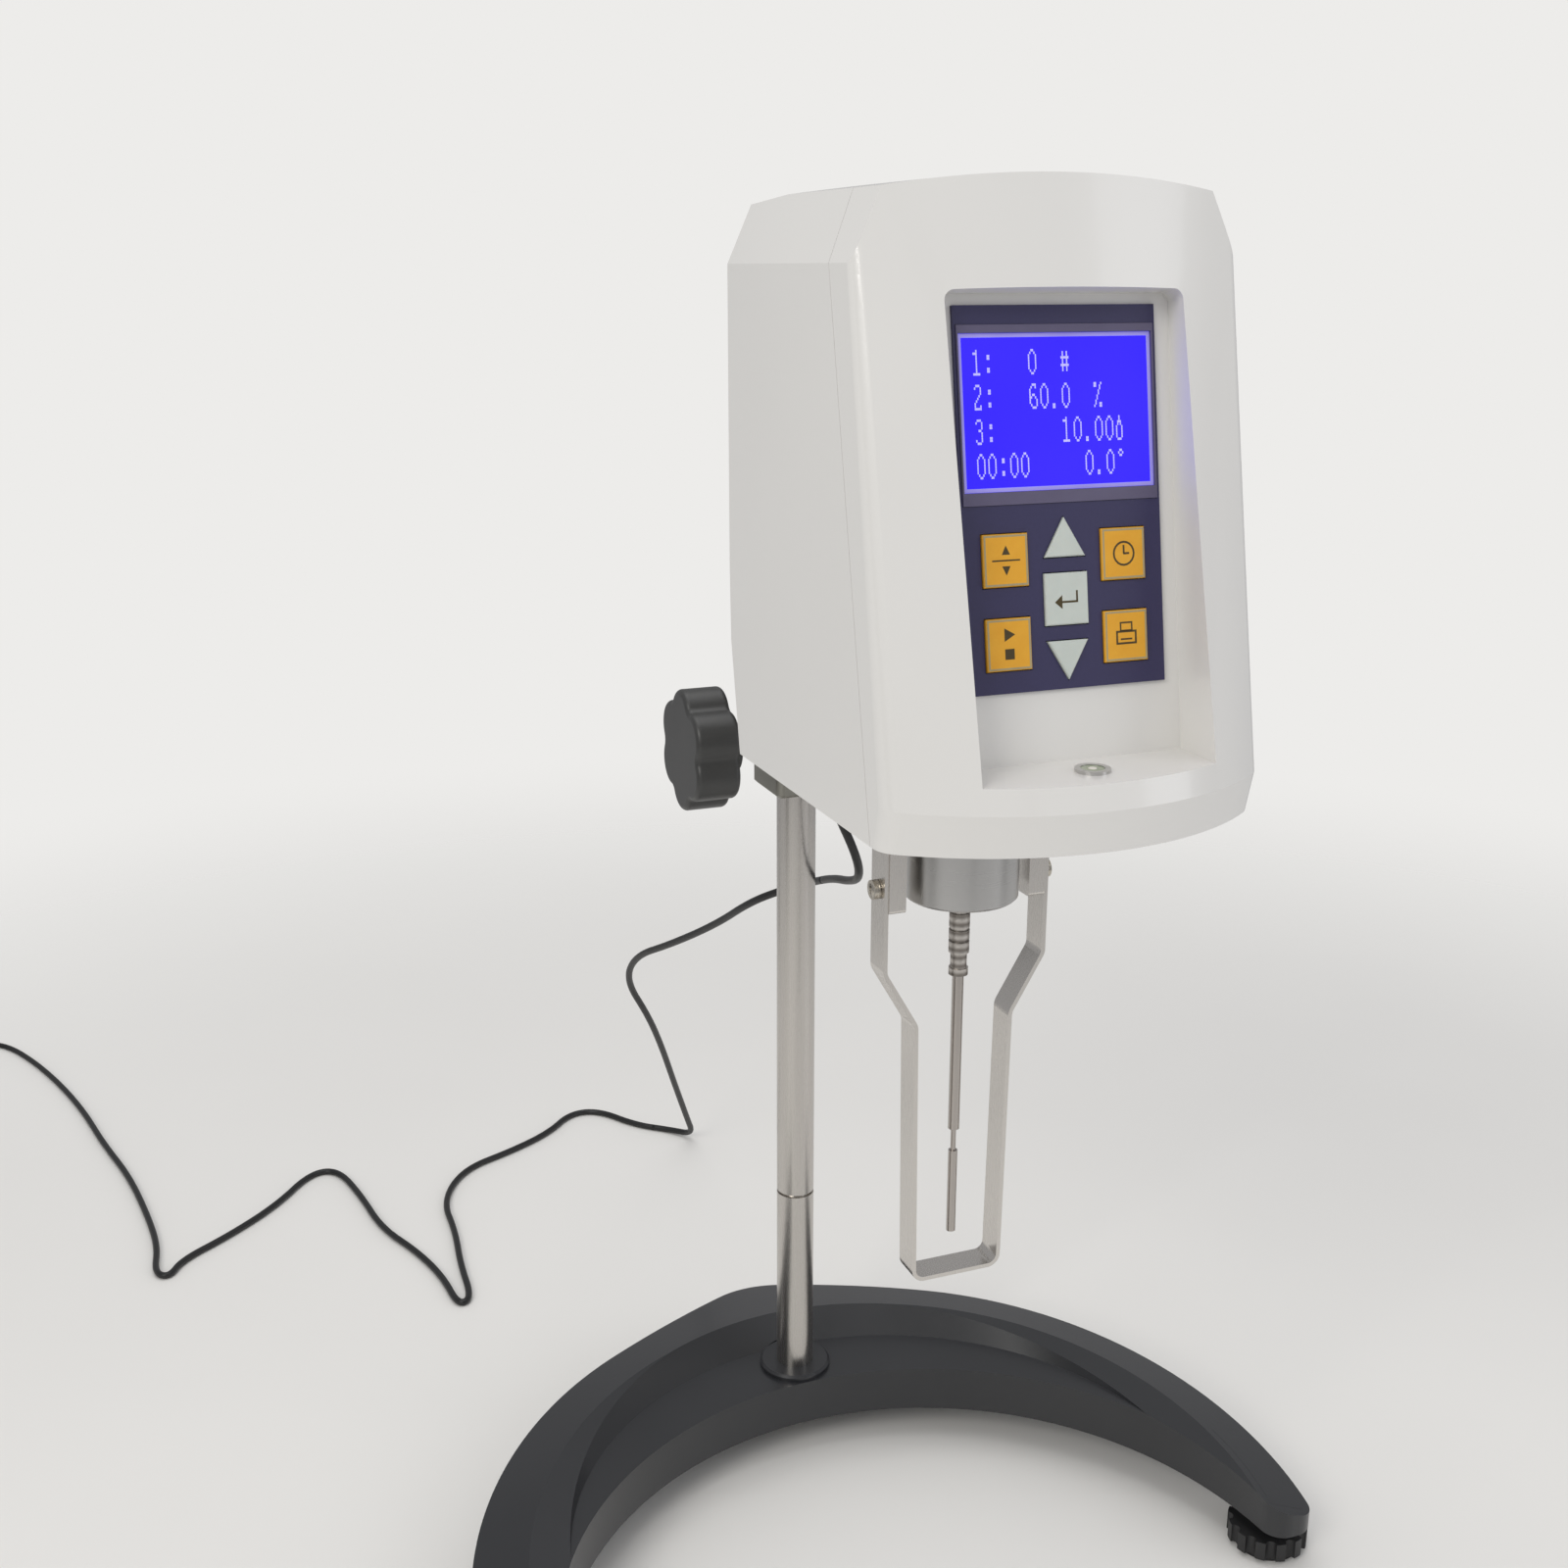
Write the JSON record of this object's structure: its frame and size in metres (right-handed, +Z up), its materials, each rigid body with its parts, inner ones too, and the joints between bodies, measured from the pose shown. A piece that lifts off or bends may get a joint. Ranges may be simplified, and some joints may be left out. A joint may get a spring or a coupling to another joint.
{
  "type": "rotational viscometer",
  "caption": "Bench rotational viscometer: keypad head with spindle and guard, clamped by a knob to a chromed column on a horseshoe base, with a low-voltage lead.",
  "frame": {"origin": "centre of the foot plane under the object, without its lead, on the bench surface", "axes": "+Z up along the column and the spindle, -Y towards the user in front of the control panel, +X to the user's right"},
  "size_m": [0.647, 0.8421, 0.531],
  "materials": {
    "head_shell": "gloss white ABS",
    "panel_film": "satin navy polyester overlay",
    "lcd": "lit blue display",
    "bezel_plastic": "satin",
    "key_amber": "satin silicone",
    "key_grey": "satin silicone",
    "board": "solder mask",
    "base_enamel": "satin black enamel",
    "steel": "brushed stainless",
    "chrome": "polished",
    "block_alloy": "bead blasted",
    "alloy": "machined",
    "black_plastic": "moulded",
    "liner": "acetal",
    "motor_body": "black",
    "brass": "turned",
    "vial": "green fluid",
    "cord": "soft PVC"
  },
  "bodies": {
    "stand": {"base_body": "base_enamel", "column_lower": "chrome", "column_upper": "chrome", "column_socket": "steel", "column_nut": "steel", "cord_hanging_low": "cord", "cord_on_bench": "cord", "cord_coil": "cord", "coil_tie": "black_plastic", "cord_to_adaptor": "cord", "wall_adaptor": "black_plastic"},
    "foot_front_left": {"foot_front_left": "black_plastic"},
    "foot_front_right": {"foot_front_right": "black_plastic"},
    "foot_rear": {"foot_rear": "black_plastic"},
    "liner": {"clamp_liner": "liner"},
    "knob": {"clamp_knob": "black_plastic"},
    "drive": {"drive_shaft": "steel", "drive_disc": "alloy", "hairspring": "brass"},
    "measuring": {"main_shaft": "steel", "measuring_disc": "alloy", "spindle_coupling": "steel", "spindle": "steel"},
    "rocker": {"power_rocker": "black_plastic"},
    "key_select": {"key_select": "key_amber"},
    "key_timer": {"key_timer": "key_amber"},
    "key_run_stop": {"key_run_stop": "key_amber"},
    "key_print": {"key_print": "key_amber"},
    "key_up": {"key_up": "key_grey"},
    "key_down": {"key_down": "key_grey"},
    "key_enter": {"key_enter": "key_grey"},
    "head": {"arm_fasteners": "steel", "arm_rod": "steel", "bearing_cup": "steel", "chassis_posts": "alloy", "circuit_boards": "board", "clamp_block": "block_alloy", "control_panel": "panel_film", "cord_hanging_high": "cord", "data_port": "steel", "front_housing": "head_shell", "guard_frame": "steel", "guard_lugs": "steel", "guard_screws": "steel", "housing_screws": "steel", "lcd_bezel": "bezel_plastic", "lcd_glass": "lcd", "level_ring": "black_plastic", "level_vial": "vial", "lower_plate": "alloy", "motor": "motor_body", "opto_sensors": "black_plastic", "power_jack": "black_plastic", "power_plug": "black_plastic", "probe_socket": "steel", "rear_housing": "head_shell", "shaft_bearing": "brass", "switch_bezel": "black_plastic", "upper_plate": "alloy"}
  },
  "joints": [
    {"name": "foot_front_left_turn", "type": "hinge", "parent": "stand", "child": "foot_front_left", "pos_m": [-0.15519, -0.04875, 0.008], "axis": [0, 0, 1], "range_deg": [-360, 360]},
    {"name": "foot_front_right_turn", "type": "hinge", "parent": "stand", "child": "foot_front_right", "pos_m": [0.15519, -0.04875, 0.008], "axis": [0, 0, 1], "range_deg": [-360, 360]},
    {"name": "foot_rear_turn", "type": "hinge", "parent": "stand", "child": "foot_rear", "pos_m": [0, 0.12725, 0.008], "axis": [0, 0, 1], "range_deg": [-360, 360]},
    {"name": "head_lift", "type": "slide", "parent": "stand", "child": "liner", "axis": [0, 0, 1], "range_m": [-0.14, 0.04], "deforming": ["cord_hanging_low"]},
    {"name": "head_swivel", "type": "hinge", "parent": "liner", "child": "head", "pos_m": [0, 0.09025, 0.3454], "axis": [0, 0, 1], "range_deg": [-45, 45]},
    {"name": "clamp_knob_turn", "type": "hinge", "parent": "head", "child": "knob", "pos_m": [-0.04, 0.09025, 0.323], "axis": [1, 0, 0], "range_deg": [-180, 180]},
    {"name": "drive_spin", "type": "hinge", "parent": "head", "child": "drive", "pos_m": [0, -0.05875, 0.41], "axis": [0, 0, 1], "continuous": true},
    {"name": "spindle_deflection", "type": "hinge", "parent": "drive", "child": "measuring", "pos_m": [0, -0.05875, 0.3755], "axis": [0, 0, 1], "range_deg": [0, 80], "stiffness_Nm_per_rad": 0.00005},
    {"name": "key_select_press", "type": "slide", "parent": "head", "child": "key_select", "axis": [0, 0.9869, -0.1616], "range_m": [0, 0.0006], "stiffness_N_per_m": 1500, "springref_m": -0.0002},
    {"name": "key_timer_press", "type": "slide", "parent": "head", "child": "key_timer", "axis": [0, 0.9869, -0.1616], "range_m": [0, 0.0006], "stiffness_N_per_m": 1500, "springref_m": -0.0002},
    {"name": "key_run_stop_press", "type": "slide", "parent": "head", "child": "key_run_stop", "axis": [0, 0.9869, -0.1616], "range_m": [0, 0.0006], "stiffness_N_per_m": 1500, "springref_m": -0.0002},
    {"name": "key_print_press", "type": "slide", "parent": "head", "child": "key_print", "axis": [0, 0.9869, -0.1616], "range_m": [0, 0.0006], "stiffness_N_per_m": 1500, "springref_m": -0.0002},
    {"name": "key_up_press", "type": "slide", "parent": "head", "child": "key_up", "axis": [0, 0.9869, -0.1616], "range_m": [0, 0.0006], "stiffness_N_per_m": 1500, "springref_m": -0.0002},
    {"name": "key_down_press", "type": "slide", "parent": "head", "child": "key_down", "axis": [0, 0.9869, -0.1616], "range_m": [0, 0.0006], "stiffness_N_per_m": 1500, "springref_m": -0.0002},
    {"name": "key_enter_press", "type": "slide", "parent": "head", "child": "key_enter", "axis": [0, 0.9869, -0.1616], "range_m": [0, 0.0006], "stiffness_N_per_m": 1500, "springref_m": -0.0002},
    {"name": "power_rocker_tilt", "type": "hinge", "parent": "head", "child": "rocker", "pos_m": [0.034, -0.00625, 0.446], "axis": [1, 0, 0], "range_deg": [-16, 0]}
  ]
}
